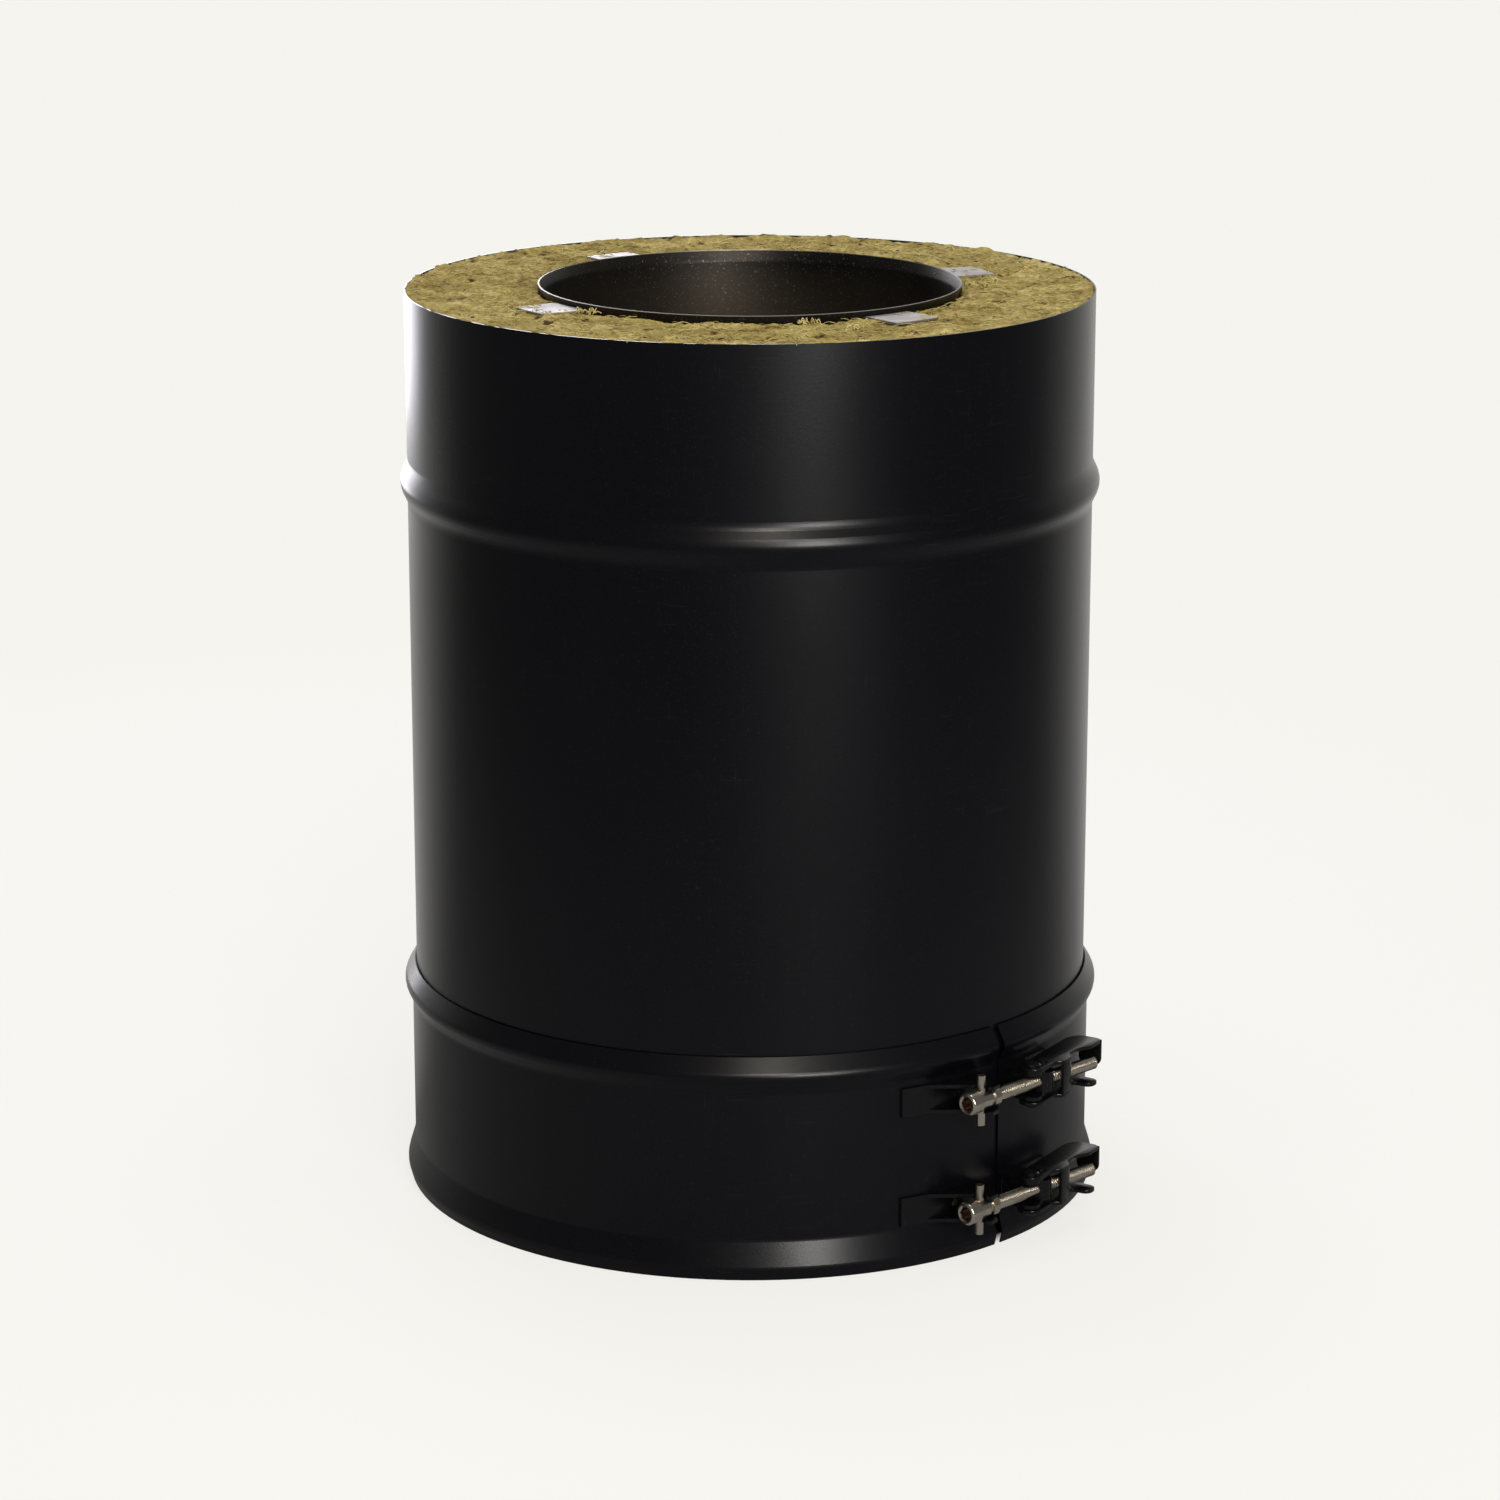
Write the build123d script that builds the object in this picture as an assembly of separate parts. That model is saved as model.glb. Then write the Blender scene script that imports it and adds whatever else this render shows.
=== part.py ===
from build123d import *
import os
from math import cos, degrees, radians, sin

# Insulated stove pipe length: a black twin wall flue section for a 150 mm bore and
# 250 mm outside diameter, with its locking band and two lever latches round the bottom
# joint. Origin: centre of the bottom. +Z up, and the split of the band lies between
# -Y (front) and +X.

# Pipe
TOTAL_HEIGHT = 335.0
OUTER_RADIUS = 125.0
SHELL_WALL = 0.6
BORE_RADIUS = 75.0
LINER_WALL = 0.5
LINER_PROUD = 1.5
LINER_FLARE = 1.2
LINER_FLARE_HEIGHT = 4.0
SPIGOT_BOTTOM = 28.0
SPIGOT_LENGTH = 40.0
SPIGOT_CLEARANCE = 0.4

# Shell bead and the wider skirt that receives the next length
BEAD_BELOW_TOP = 71.0
BEAD_HALF_WIDTH = 7.0
BEAD_PEAK = 3.3
BEAD_ROUND = 7.0
SKIRT_BOTTOM = 8.0
SKIRT_CLEARANCE = 0.3
SEAT_BEAD_HALF_WIDTH = 5.0
SEAT_BEAD_PEAK = 1.8
SEAT_BEAD_ROUND = 2.0

# Mineral wool and the plates that centre the liner
WOOL_BELOW_RIM = 1.0
WOOL_CLEARANCE = 0.2
WOOL_ABOVE_SEAT_BEAD = 1.0
SPACER_ANGLES = (38.0, 114.0, 215.0, 305.0)
SPACER_WIDTH = 19.0
SPACER_REACH = 19.0
SPACER_DROP = 20.0
SPACER_WALL = 0.8
SPACER_BEND = 2.5
SPACER_CLEARANCE = 0.1

# Locking band
BAND_HEIGHT = 82.0
BAND_WALL = 0.6
BAND_CLEARANCE = 0.15
BAND_BEAD_BELOW_TOP = 7.0
BAND_BEAD_HALF_WIDTH = 6.0
BAND_BEAD_PEAK = 3.3
BAND_FLARE_HEIGHT = 4.0
BAND_FLARE_START = 14.0
BAND_FLARE_PEAK = 3.0
BAND_LIP_OUT = 1.9
BAND_ROUND = 4.0
SPLIT_ANGLE = 44.0
SPLIT_GAP = 3.0

# Latches: each is drawn in its own frame, X along the band from the split, Y outwards
# from the band and Z down, with the screw on the X direction
LATCH_FROM_EDGE = 20.5
SCREW_OUT = 10.5
SCREW_RADIUS = 2.5
SCREW_END = 40.0
HEAD_RADIUS = 4.25
HEAD_LENGTH = 5.0
HEAD_CHAMFER = 0.5
SOCKET_ACROSS_FLATS = 4.0
SOCKET_DEPTH = 2.6
PLATE = 1.3
RUNNING_CLEARANCE = 0.3

# Trunnion with its cross pin, on the screw behind the head
TRUNNION_ALONG = -19.0
TRUNNION_RADIUS = 3.7
TRUNNION_LENGTH = 5.0
TRUNNION_NECK_RADIUS = 3.1
TRUNNION_NECK_LENGTH = 1.8
TRUNNION_COLLAR_LENGTH = 2.8
CROSS_PIN_RADIUS = 1.5
CROSS_PIN_LENGTH = 18.5
SCREW_CLEARANCE = 0.05

# Catch plate
STRAP_START = -42.0
STRAP_END = -8.0
STRAP_HEIGHT = 8.8
EAR_INSIDE = 4.0
EAR_START = -33.0

# Lever and its bracket
PIVOT_ALONG = 6.6
PIVOT_OUT = 11.5
PIVOT_RADIUS = 2.0
PIVOT_EYE = 3.7
BRACKET_START = 2.4
BRACKET_END = 28.0
NUT_ALONG = 13.2
NUT_RADIUS = 4.0
NUT_PIN_RADIUS = 2.0
NUT_EYE = 4.4
RIVET_HEAD_RADIUS = 3.0
RIVET_HEAD_HEIGHT = 1.1
BRIDGE_GAP = 3.1
BRIDGE_CLEARANCE = 0.4
BRIDGE_LENGTH = 6.0
LOWER_ARM_END = 37.0
UPPER_ARM_END = 46.0
FINGER_WALL = 1.6

band_bead_height = BAND_HEIGHT - BAND_BEAD_BELOW_TOP
wool_bottom = band_bead_height + WOOL_ABOVE_SEAT_BEAD
wool_top = TOTAL_HEIGHT - LINER_PROUD - WOOL_BELOW_RIM
shell_inner_radius = OUTER_RADIUS - SHELL_WALL
skirt_inner_radius = OUTER_RADIUS + SKIRT_CLEARANCE
skirt_radius = skirt_inner_radius + SHELL_WALL
band_inner_radius = skirt_radius + BAND_CLEARANCE
band_radius = band_inner_radius + BAND_WALL
liner_radius = BORE_RADIUS + LINER_WALL
ear_outside = EAR_INSIDE + PLATE
arm_inside = ear_outside + RUNNING_CLEARANCE
arm_outside = arm_inside + PLATE
arm_half_width = SCREW_RADIUS + BRIDGE_CLEARANCE + PLATE


def rolled_sheet(points, rounds, wall, arc=360.0):
    """Sheet turned round the pipe axis, from its outer line of (radius, height) points."""
    line = FilletPolyline(*points, radius=rounds)
    section = make_face(offset(line, amount=wall, side=Side.LEFT))
    return revolve(Plane.XZ * section, Axis.Z, arc)


def ring(inner, outer, low, high):
    """Plain ring round the pipe axis."""
    solid = Cylinder(outer, high - low) - Cylinder(inner, high - low)
    return Pos(0, 0, (low + high) / 2) * solid


def at_angle(angle, solid):
    """Turn a solid drawn towards -Y round the pipe axis."""
    return Rot(0, 0, angle) * solid


def outer_shell():
    bead = TOTAL_HEIGHT - BEAD_BELOW_TOP
    points = [
        (skirt_radius, SKIRT_BOTTOM),
        (skirt_radius, band_bead_height - SEAT_BEAD_HALF_WIDTH),
        (skirt_radius + SEAT_BEAD_PEAK, band_bead_height),
        (OUTER_RADIUS, band_bead_height + SEAT_BEAD_HALF_WIDTH),
        (OUTER_RADIUS, bead - BEAD_HALF_WIDTH),
        (OUTER_RADIUS + BEAD_PEAK, bead),
        (OUTER_RADIUS, bead + BEAD_HALF_WIDTH),
        (OUTER_RADIUS, TOTAL_HEIGHT - LINER_PROUD),
    ]
    return rolled_sheet(points, [SEAT_BEAD_ROUND] * 3 + [BEAD_ROUND] * 3, SHELL_WALL)


def inner_liner():
    spigot = liner_radius - LINER_WALL - SPIGOT_CLEARANCE
    flare_start = TOTAL_HEIGHT - LINER_FLARE_HEIGHT
    points = [
        (spigot, SPIGOT_BOTTOM),
        (spigot, SPIGOT_BOTTOM + SPIGOT_LENGTH),
        (liner_radius, SPIGOT_BOTTOM + SPIGOT_LENGTH + 5.0),
        (liner_radius, flare_start),
        (liner_radius + LINER_FLARE, TOTAL_HEIGHT),
    ]
    return rolled_sheet(points, [4.0, 4.0, 3.0], LINER_WALL)


def spacer():
    """Bent plate on the liner: a leg down its outside and a tongue out over the wool."""
    top = wool_top + SPACER_WALL
    inside = liner_radius + SPACER_CLEARANCE
    line = FilletPolyline(
        (inside, top - SPACER_DROP),
        (inside, top),
        (inside + SPACER_REACH, top),
        radius=SPACER_BEND,
    )
    section = make_face(offset(line, amount=SPACER_WALL, side=Side.RIGHT))
    sweep_angle = 30.0
    swept = revolve(Plane.XZ * section, Axis.Z, sweep_angle)
    centred = Rot(0, 0, -90 - sweep_angle / 2) * swept
    keep = Pos(0, -inside, top) * Box(SPACER_WIDTH, 4 * SPACER_REACH, 3 * SPACER_DROP)
    return centred & keep


def insulation():
    wool = ring(liner_radius + WOOL_CLEARANCE, shell_inner_radius - WOOL_CLEARANCE, wool_bottom, wool_top)
    inner_edge = wool.edges().group_by(Axis.Z)[-1].sort_by(SortBy.RADIUS)[0]
    wool = chamfer(inner_edge, LINER_FLARE_HEIGHT)
    slot_wall = SPACER_WALL + 2 * WOOL_CLEARANCE
    slot = Box(SPACER_WIDTH + 1.0, 2 * (slot_wall + 3.0), 2 * SPACER_DROP + 2.0)
    for angle in SPACER_ANGLES:
        wool -= at_angle(angle, Pos(0, -liner_radius, wool_top) * slot)
    return wool


def locking_band():
    lip_slope = (BAND_FLARE_PEAK - BAND_LIP_OUT) / BAND_FLARE_HEIGHT
    points = [
        (band_radius + BAND_LIP_OUT - BAND_WALL * lip_slope, -BAND_WALL),
        (band_radius + BAND_FLARE_PEAK, BAND_FLARE_HEIGHT),
        (band_radius, BAND_FLARE_START),
        (band_radius, band_bead_height - BAND_BEAD_HALF_WIDTH),
        (band_radius + BAND_BEAD_PEAK, band_bead_height),
        (OUTER_RADIUS + BAND_CLEARANCE + BAND_WALL, BAND_HEIGHT),
    ]
    split = degrees(SPLIT_GAP / band_radius)
    rounds = [BAND_ROUND] * 4
    band = rolled_sheet(points, rounds, BAND_WALL, 360 - split)
    band -= Pos(0, 0, -BAND_WALL) * Cylinder(2 * band_radius, 2 * BAND_WALL)
    return Rot(0, 0, SPLIT_ANGLE - 90 + split / 2) * band


def band_strip(start, end, height):
    """Plate bent to the band, in the latch frame."""
    outline = Plane.XZ * make_face(
        Polyline((start, -height / 2), (end, -height / 2), (end, height / 2), (start, height / 2), close=True)
    )
    block = extrude(outline, amount=band_radius / 2, both=True)
    wall = Cylinder(band_radius + PLATE, height) - Cylinder(band_radius, height)
    return (Pos(0, -band_radius, 0) * wall) & block


def pair(outline, inside):
    """Two like plates, one above and one below the screw, cut to one outline."""
    plate = extrude(outline, amount=PLATE)
    return [Pos(0, 0, inside) * plate, Pos(0, 0, -inside - PLATE) * plate]


def disc(along, out, radius):
    return Pos(along, out) * Circle(radius)


def on_screw(start, length, radius):
    """Cylinder on the screw's axis, in the latch frame."""
    return Pos(start + length / 2, SCREW_OUT, 0) * Rot(0, 90, 0) * Cylinder(radius, length)


def band_surface(along):
    """How far out the band lies beside the split's tangent."""
    return (band_radius**2 - along**2) ** 0.5 - band_radius


def catch_plate():
    seat = TRUNNION_ALONG + CROSS_PIN_RADIUS + RUNNING_CLEARANCE
    seat_floor = SCREW_OUT - CROSS_PIN_RADIUS - RUNNING_CLEARANCE
    lip = SCREW_OUT + CROSS_PIN_RADIUS + 3 * RUNNING_CLEARANCE
    outline = make_face(
        Polyline(
            (EAR_START, band_surface(EAR_START) + PLATE / 2),
            (TRUNNION_ALONG - 4.0, seat_floor - 3.4),
            (TRUNNION_ALONG - 1.0, seat_floor),
            (seat, seat_floor),
            (seat, lip),
            (seat - 1.2, lip + 0.4),
            (seat, lip + 2.0),
            (seat + 4.0, lip + 1.2),
            (STRAP_END - 1.5, SCREW_OUT - 4.0),
            (STRAP_END, band_surface(STRAP_END) + PLATE / 2),
            close=True,
        )
    )
    strap = band_strip(STRAP_START, STRAP_END, 2 * ear_outside)
    inside = Pos(0, -band_radius, 0) * Cylinder(band_radius + PLATE / 2, 4 * ear_outside)
    ears = [ear - inside for ear in pair(outline, EAR_INSIDE)]
    return strap + ears


def lever_bracket():
    eye = disc(PIVOT_ALONG, PIVOT_OUT, PIVOT_EYE)
    foot = Polyline(
        (BRACKET_START, band_surface(BRACKET_START) + PLATE / 2),
        (PIVOT_ALONG - PIVOT_EYE, PIVOT_OUT),
        (PIVOT_ALONG + PIVOT_EYE, PIVOT_OUT),
        (PIVOT_ALONG + 7.0, band_surface(PIVOT_ALONG) + PLATE / 2),
        close=True,
    )
    outline = (eye + make_face(foot)) - disc(PIVOT_ALONG, PIVOT_OUT, PIVOT_RADIUS + 0.02)
    base = band_strip(BRACKET_START, BRACKET_END, 2 * ear_outside)
    inside = Pos(0, -band_radius, 0) * Cylinder(band_radius + PLATE / 2, 4 * ear_outside)
    ears = [ear - inside for ear in pair(outline, EAR_INSIDE)]
    return base + ears


def pivot_rivets():
    """Two short rivets, so that the screw passes between them."""
    shank = Cylinder(PIVOT_RADIUS, arm_outside - EAR_INSIDE)
    shank = Pos(0, 0, (arm_outside + EAR_INSIDE) / 2) * shank
    head = Pos(0, 0, arm_outside + RIVET_HEAD_HEIGHT / 2) * Cylinder(RIVET_HEAD_RADIUS, RIVET_HEAD_HEIGHT)
    head = chamfer(head.edges().group_by(Axis.Z)[-1], RIVET_HEAD_HEIGHT / 2)
    rivet = Pos(PIVOT_ALONG, PIVOT_OUT, 0) * (shank + head)
    return [rivet, mirror(rivet, Plane.XY)]


def lever():
    low = SCREW_OUT - arm_half_width
    high = SCREW_OUT + arm_half_width
    eyes = disc(PIVOT_ALONG, PIVOT_OUT, PIVOT_EYE + 0.3) + disc(NUT_ALONG, SCREW_OUT, NUT_EYE)
    holes = disc(PIVOT_ALONG, PIVOT_OUT, PIVOT_RADIUS + 0.05) + disc(NUT_ALONG, SCREW_OUT, NUT_PIN_RADIUS + 0.05)
    arms = []
    for end, side in ((LOWER_ARM_END, 1), (UPPER_ARM_END, -1)):
        bar = make_face(Polyline((PIVOT_ALONG, low), (end, low), (end, high), (PIVOT_ALONG, high), close=True))
        bar = bar + eyes - holes
        bottom = arm_inside if side > 0 else -arm_outside
        arms.append(Pos(0, 0, bottom) * extrude(bar, amount=PLATE))
    bridge_start = NUT_ALONG + BRIDGE_GAP
    bridge = Pos(bridge_start + BRIDGE_LENGTH / 2, high - PLATE / 2, 0) * Box(BRIDGE_LENGTH, PLATE, 2 * arm_outside)
    tab_height = 11.0
    tab = Pos(UPPER_ARM_END - FINGER_WALL / 2, SCREW_OUT, -arm_outside + tab_height / 2)
    tab = tab * Box(FINGER_WALL, 2 * arm_half_width, tab_height)
    return arms[0] + arms[1] + bridge + tab


def trunnion_nut():
    body = Pos(NUT_ALONG, SCREW_OUT, 0) * Cylinder(NUT_RADIUS, 2 * TRUNNION_RADIUS)
    pins = Pos(NUT_ALONG, SCREW_OUT, 0) * Cylinder(NUT_PIN_RADIUS, 2 * arm_outside + RIVET_HEAD_HEIGHT)
    return body + pins - on_screw(NUT_ALONG - 10, 20, SCREW_RADIUS + SCREW_CLEARANCE)


def tension_screw():
    head_start = TRUNNION_ALONG - TRUNNION_LENGTH / 2 - HEAD_LENGTH - 0.05
    shank = on_screw(head_start + HEAD_LENGTH, SCREW_END - head_start - HEAD_LENGTH, SCREW_RADIUS)
    head = on_screw(head_start, HEAD_LENGTH, HEAD_RADIUS)
    head = chamfer(head.edges().group_by(Axis.X)[0], HEAD_CHAMFER)
    key = Plane(origin=(head_start, SCREW_OUT, 0), x_dir=(0, 0, 1), z_dir=(1, 0, 0))
    socket = extrude(key * RegularPolygon(SOCKET_ACROSS_FLATS / 2, 6, major_radius=False), amount=SOCKET_DEPTH)
    return head + shank - socket


def cross_pin():
    start = TRUNNION_ALONG - TRUNNION_LENGTH / 2
    body = on_screw(start, TRUNNION_LENGTH, TRUNNION_RADIUS)
    neck = on_screw(start + TRUNNION_LENGTH, TRUNNION_NECK_LENGTH, TRUNNION_NECK_RADIUS)
    collar_start = start + TRUNNION_LENGTH + TRUNNION_NECK_LENGTH
    collar = on_screw(collar_start, TRUNNION_COLLAR_LENGTH, TRUNNION_RADIUS)
    pin = Pos(TRUNNION_ALONG, SCREW_OUT, 0) * Cylinder(CROSS_PIN_RADIUS, CROSS_PIN_LENGTH)
    bore = on_screw(start - 1, 20, SCREW_RADIUS + SCREW_CLEARANCE)
    return body + neck + collar + pin - bore


def latch_place(height):
    turn = radians(SPLIT_ANGLE)
    return Plane(
        origin=(band_radius * sin(turn), -band_radius * cos(turn), height),
        x_dir=(cos(turn), sin(turn), 0),
        z_dir=(0, 0, -1),
    ).location


def save(name, solid):
    solids = solid if isinstance(solid, list) else solid.solids()
    shape = Compound(children=list(solids)) if len(solids) > 1 else solids[0]
    export_step(shape, "parts/" + name + ".step")


os.makedirs("parts", exist_ok=True)
save("outer_shell", outer_shell())
save("inner_liner", inner_liner())
save("insulation", insulation())
save("locking_band", locking_band())
for number, angle in enumerate(SPACER_ANGLES, 1):
    save("spacer_" + str(number), at_angle(angle, spacer()))

for latch_name, side in (("upper", 1), ("lower", -1)):
    place = latch_place(BAND_HEIGHT / 2 + side * (BAND_HEIGHT / 2 - LATCH_FROM_EDGE))
    pieces = {
        "catch_plate": catch_plate(),
        "lever_bracket": lever_bracket(),
        "lever": lever(),
        "trunnion_nut": trunnion_nut(),
        "tension_screw": tension_screw(),
        "cross_pin": cross_pin(),
    }
    for piece_name, piece in pieces.items():
        save(latch_name + "_" + piece_name, place * piece)
    save(latch_name + "_pivot_rivets", [place * rivet for rivet in pivot_rivets()])
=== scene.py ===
"""Looks of a black insulated stove pipe: painted casing and locking band, loose mineral wool,
a liner with a painted glow deep in its bore, and the threaded screws and shaped levers of its two latches."""

import math
import random

import bmesh
import bpy
from mathutils import Matrix, Vector, noise

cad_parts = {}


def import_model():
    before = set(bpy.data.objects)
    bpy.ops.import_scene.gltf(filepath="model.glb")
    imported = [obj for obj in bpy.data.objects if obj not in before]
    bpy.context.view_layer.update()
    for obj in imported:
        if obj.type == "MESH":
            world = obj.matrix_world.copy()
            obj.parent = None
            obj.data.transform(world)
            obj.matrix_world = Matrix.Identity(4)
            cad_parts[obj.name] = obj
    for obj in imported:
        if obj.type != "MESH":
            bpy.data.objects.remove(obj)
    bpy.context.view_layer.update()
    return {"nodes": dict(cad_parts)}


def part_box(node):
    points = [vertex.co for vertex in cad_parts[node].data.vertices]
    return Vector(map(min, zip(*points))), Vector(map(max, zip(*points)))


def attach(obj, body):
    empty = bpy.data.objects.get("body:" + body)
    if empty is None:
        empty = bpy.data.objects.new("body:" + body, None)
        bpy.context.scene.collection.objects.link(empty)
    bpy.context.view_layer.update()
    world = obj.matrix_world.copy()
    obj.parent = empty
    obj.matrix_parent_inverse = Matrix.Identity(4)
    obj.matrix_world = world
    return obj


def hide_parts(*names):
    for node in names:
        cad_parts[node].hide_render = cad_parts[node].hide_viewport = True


MM = 0.001
LATCHES = ("upper", "lower")
SPACERS = ("spacer_1", "spacer_2", "spacer_3", "spacer_4")
PIPE_BLACK = ("outer_shell", "locking_band")
LATCH_BLACK = ("catch_plate", "lever_bracket", "pivot_rivets", "trunnion_nut")

# Camera, fitted to the rims, the band and the sides in the photograph
CAMERA_DISTANCE = 1.6197
CAMERA_HEIGHT = 0.5908
CAMERA_PITCH = 14.905
CAMERA_FOCAL = 4509.4
PHOTO_WIDTH = 1500.0
SENSOR_WIDTH = 36.0
CAMERA_LENS = SENSOR_WIDTH * CAMERA_FOCAL / PHOTO_WIDTH

# Studio: nearer to the axis than the radius below, the floor gives no glow of its own, which is a painted
# shadow under the pipe
BACKDROP = (0.913, 0.905, 0.863)
SKY_LEVEL = 0.5
FRONT_LEVEL = 0.14
FLOOR_SIZE = 12.0
FLOOR_GREY = 0.16
FLOOR_LIGHT = 1.1
FLOOR_SHADE_REACH = 0.9
FLOOR_PAINTED_SHADOW_RADIUS = 0.128
FLOOR_PAINTED_SHADOW_SOFT = 6.0 * MM
FLOOR_SHADE_START = 0.3
REFLECTED_FRONT = 0.3
REFLECTED_BACK = 0.98
# Lamps: name, place, width and height, power and colour
LAMPS = (
    ("front low", (0.55, -1.5, 0.5), (0.35, 0.35), 13.0, (1.0, 0.97, 0.94)),
    ("front high", (0.2, -1.6, 1.05), (0.3, 0.3), 11.0, (1.0, 0.93, 0.82)),
    ("left panel", (-0.54, 1.46, 0.35), (1.1, 1.5), 28.0, (0.94, 0.92, 1.0)),
    ("top", (0.0, 0.1, 1.9), (1.1, 1.1), 9.0, (1.0, 1.0, 1.0)),
)
LAMP_AIM = (0.0, 0.0, 0.17)

# Paint and metal: sizes of their noises, and the colours of what lies on them
PEEL_SCALE = 1100.0
PEEL_HEIGHT = 0.00015
DUST_SCALE = 1500.0
PATCH_SCALE = 11.0
SCRATCH_AROUND_SCALE = 60.0
SCRATCH_UPRIGHT_SCALE = 90.0
SCRATCH_AREA_SCALE = 26.0
TARNISH_SCALE = 130.0
PAINT_DUST = (0.022, 0.021, 0.02)
PAINT_SCRATCH = (0.035, 0.034, 0.034)
ROLLED_SCALE = 300.0
METAL_RELIEF = 0.0001
# Liner colours by height, as painted light: warm deep down, palest just below the flare as a painted glow,
# nearly black at the flared top
LINER_GLOW_TONES = (
    (0.0, (0.06, 0.046, 0.034)),
    (0.8, (0.085, 0.07, 0.052)),
    (0.97, (0.01, 0.0095, 0.009)),
)
LINER_GLOW_HEIGHTS = (0.2, 0.335)
LINER_PATCH = (0.1, 0.085, 0.07)
LINER_MARK = (0.3, 0.27, 0.23)
LINER_EDGE = (0.22, 0.21, 0.2)
LINER_EDGE_HEIGHTS = (0.33485, 0.33495)
DULLING = (0.8, 0.78, 0.74)

# Locking band and its latches, as in the frame
SPLIT_ANGLE = math.radians(44.0)
BAND_RADIUS = 126.65 * MM
SCREW_OUT = 10.5 * MM
SCREW_HEAD_END = -21.55 * MM
SCREW_HEAD_LENGTH = 5.0 * MM
SCREW_HEAD_RADIUS = 4.25 * MM
SCREW_RIM_ROUND = 0.9 * MM
SOCKET_APOTHEM = 2.3 * MM
SOCKET_DEPTH = 2.6 * MM
SCREW_END = 40.0 * MM
SCREW_RADIUS = 2.5 * MM
THREAD_DEPTH = 0.38 * MM
THREAD_PITCH = 1.0 * MM
THREAD_STEPS = 14
THREAD_CREST = (0.35, 0.65)
HEAD_SIDES = 72
RIM_STEPS = 5
SOCKET_MOUTH = 0.35 * MM
SOCKET_MOUTH_STEP = 0.02 * MM
SOCKET_MOUTH_WIDENING = 1.32
SOCKET_SIDE_MARGIN = 1.05
SOCKET_DEPTH_MARGIN = 1.1
SCREW_SHARP = math.radians(40.0)

# Lever of a latch, drawn along its own X direction from the pivot, in the latch's frame
LEVER_PIVOT = (6.6 * MM, 1.0 * MM, 0.0)
LEVER_TILT = math.radians(-15.0)
LEVER_WALL = 1.3 * MM
ARM_INSIDE = 5.6 * MM
EDGE_BREAK = 0.18 * MM
CORNER_STEPS = 5
BROKEN_EDGE = math.radians(60.0)
LEVER_SHARP = math.radians(35.0)
# Outlines: along, outwards and the rounding of the corner, in millimetres. Both arms start alike.
ARM_ROOT = ((-4.6, -4.4, 4.2), (-4.6, 4.6, 4.2), (8.6, 4.8, 1.0), (10.4, 7.4, 1.2), (16.4, 7.4, 1.2))
UPPER_ARM = ARM_ROOT + (
    (19.5, 4.6, 1.5), (26.5, 5.0, 2.0), (30.5, 7.8, 2.0),
    (40.0, 7.8, 2.6), (40.0, -1.5, 2.6), (35.0, -4.2, 2.0),
)
LOWER_ARM = ARM_ROOT + (
    (19.5, 4.4, 1.5), (24.6, 4.4, 0.8), (25.0, 11.0, 2.6),
    (31.4, 11.0, 2.6), (32.0, 2.0, 1.5), (31.0, -4.2, 2.5),
)
BRIDGE_START = 10.5
BRIDGE_END = 16.3
BRIDGE_OUT = 7.4
BRIDGE_OVERLAP = 0.5
FINGER_ALONG = 38.7 * MM
FINGER_PLATE = ((-1.2, -6.6, 0.0), (7.6, -6.6, 0.0), (7.6, 3.4, 2.8), (-1.2, 3.4, 2.8))

# Wool between the walls
WOOL_SEED = 7
WOOL_INSIDE = 76.6 * MM
WOOL_OUTSIDE = 124.0 * MM
WOOL_RINGS = 76
WOOL_SECTORS = 620
WOOL_LUMP = 1.1 * MM
WOOL_CLUMP = 0.9 * MM
WOOL_FLUFF = 0.5 * MM
LUMP_SCALE = 95.0
CLUMP_SCALE = 260.0
FLUFF_SCALE = 700.0
WOOL_WALL_GAP = 0.05 * MM
# Near the liner the wool sinks: over this reach, and by drops that are given in millimetres
INNER_REACH = 2.6 * MM
INNER_WAVES = 2.2
INNER_DROP = 0.6
INNER_DROP_VARIED = 3.0
RIM_RISE = 0.9 * MM
RIM_REACH = 7.0 * MM
PLATE_WIDTH = 19.0 * MM
PLATE_REACH = 95.5 * MM
PLATE_SIDE_MARGIN = 0.4 * MM
PLATE_END_MARGIN = 1.0 * MM
PLATE_SINK = 0.15 * MM
WOOL_TONES = (
    (0.3, (0.14, 0.098, 0.025)),
    (0.42, (0.25, 0.19, 0.056)),
    (0.54, (0.37, 0.295, 0.1)),
    (0.66, (0.56, 0.47, 0.2)),
)
WOOL_FLECK = (0.065, 0.032, 0.008)
WOOL_RELIEF = 0.0012
FIBRES = 1700
FIBRE_RADIUS = 0.13 * MM
BINDER_STRANDS = FIBRES // 6
TUFT_THICKNESS = 1.6 * FIBRE_RADIUS
TUFT_SPREAD = 0.05
TUFT_LIFT = 0.1 * MM
TUFT_SHORTEST = 0.5
# Largest bend of a strand at each step, in radians
FIBRE_BEND = 0.5
BINDER_BEND = 0.6
TUFT_BEND = 0.7
STRAND_STEPS = 6
STRAND_WAVER = (0.4, 1.6)
STRAND_LIFT = 0.05 * MM
# Ranges of the random draws, and the rise of a binder strand, in millimetres
STRAND_RADII = (79.5, 121.0)
FIBRE_LENGTHS = (3.0, 9.0)
FIBRE_RISES = (0.1, 0.9)
BINDER_LENGTHS = (2.0, 7.0)
BINDER_RISE = 0.5
TUFT_RADII = (-2.0, 2.5)
TUFT_RISES = (0.4, 1.9)
# Strands that stand up: angle from the front, distance from the axis, how many, and reach
TUFTS = (
    (math.radians(95.0), 82.0 * MM, 26, 9.0 * MM),
    (math.radians(100.0), 88.0 * MM, 14, 8.0 * MM),
    (math.radians(15.0), 78.5 * MM, 12, 4.0 * MM),
    (math.radians(-47.5), 78.5 * MM, 14, 4.5 * MM),
    (math.radians(-140.5), 113.0 * MM, 10, 6.0 * MM),
    (math.radians(22.0), 97.0 * MM, 8, 6.0 * MM),
)

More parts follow.
